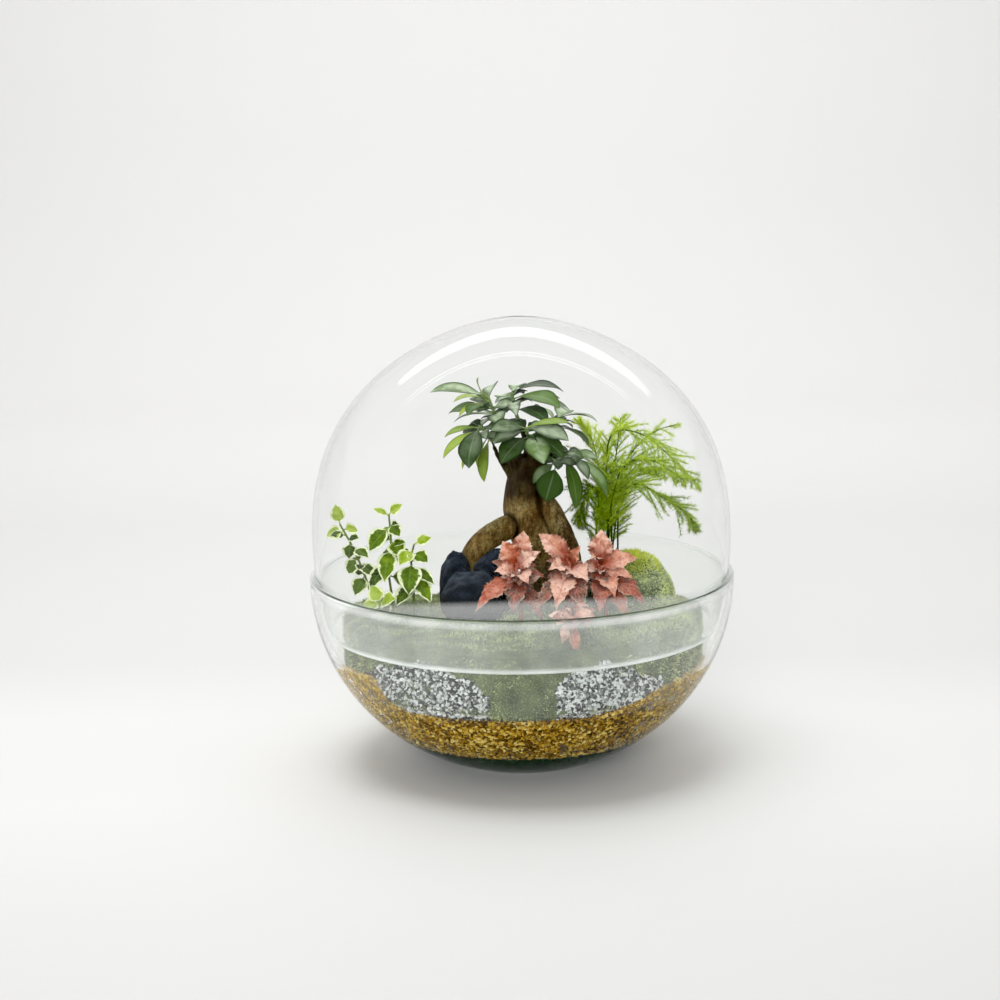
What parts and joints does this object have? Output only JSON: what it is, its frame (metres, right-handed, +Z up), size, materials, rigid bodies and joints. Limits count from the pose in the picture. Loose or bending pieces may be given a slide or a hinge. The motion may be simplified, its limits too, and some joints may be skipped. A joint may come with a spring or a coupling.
{
  "type": "glass plant terrarium",
  "caption": "Round glass bowl with layers of vermiculite, pumice and moss, small ficus, fittonia, creeping fig and asparagus fern, under a tall glass dome that rests in its neck",
  "frame": {"origin": "middle of the bowl's flat base, on the surface it stands on", "axes": "+Z up through the middle of the bowl and the dome, -Y towards the viewer of the picture, +X to the viewer's right"},
  "size_m": [0.28, 0.28, 0.295],
  "materials": {
    "glass": "clear, polished",
    "dark_moss": "damp, matte",
    "vermiculite": "golden flakes, satin",
    "soil": "damp, matte",
    "pumice": "porous, matte",
    "moss": "fuzzy, matte",
    "lava": "porous, matte",
    "bark": "smooth bark, satin",
    "ficus_leaf": "waxy, glossy",
    "fittonia_leaf": "soft, satin",
    "fig_leaf": "cream margins, satin",
    "fern": "feathery, matte"
  },
  "bodies": {
    "root": {"bowl": "glass", "dome": "glass", "bottom_moss": "dark_moss", "vermiculite": "vermiculite", "soil": "soil", "pumice_left": "pumice", "pumice_right": "pumice", "moss_carpet": "moss", "moss_mound": "moss", "lava_stone_front": "lava", "lava_stone_left": "lava", "lava_stone_back": "lava", "ficus_trunk": "bark", "ficus_shoot_top_left": "ficus_leaf", "ficus_shoot_top_right": "ficus_leaf", "ficus_shoot_left": "ficus_leaf", "ficus_shoot_front": "ficus_leaf", "ficus_shoot_right": "ficus_leaf", "ficus_shoot_low_right": "ficus_leaf", "ficus_shoot_back_left": "ficus_leaf", "ficus_shoot_back_right": "ficus_leaf", "fittonia_left": "fittonia_leaf", "fittonia_middle": "fittonia_leaf", "fittonia_right": "fittonia_leaf", "fittonia_trailing": "fittonia_leaf", "creeping_fig_left": "fig_leaf", "creeping_fig_tall": "fig_leaf", "creeping_fig_right": "fig_leaf", "creeping_fig_low": "fig_leaf", "asparagus_frond_low_right": "fern", "asparagus_frond_right": "fern", "asparagus_frond_upright": "fern", "asparagus_frond_top": "fern", "asparagus_frond_high_right": "fern", "asparagus_frond_front": "fern", "asparagus_frond_low_front": "fern", "asparagus_frond_back": "fern"}
  },
  "joints": []
}
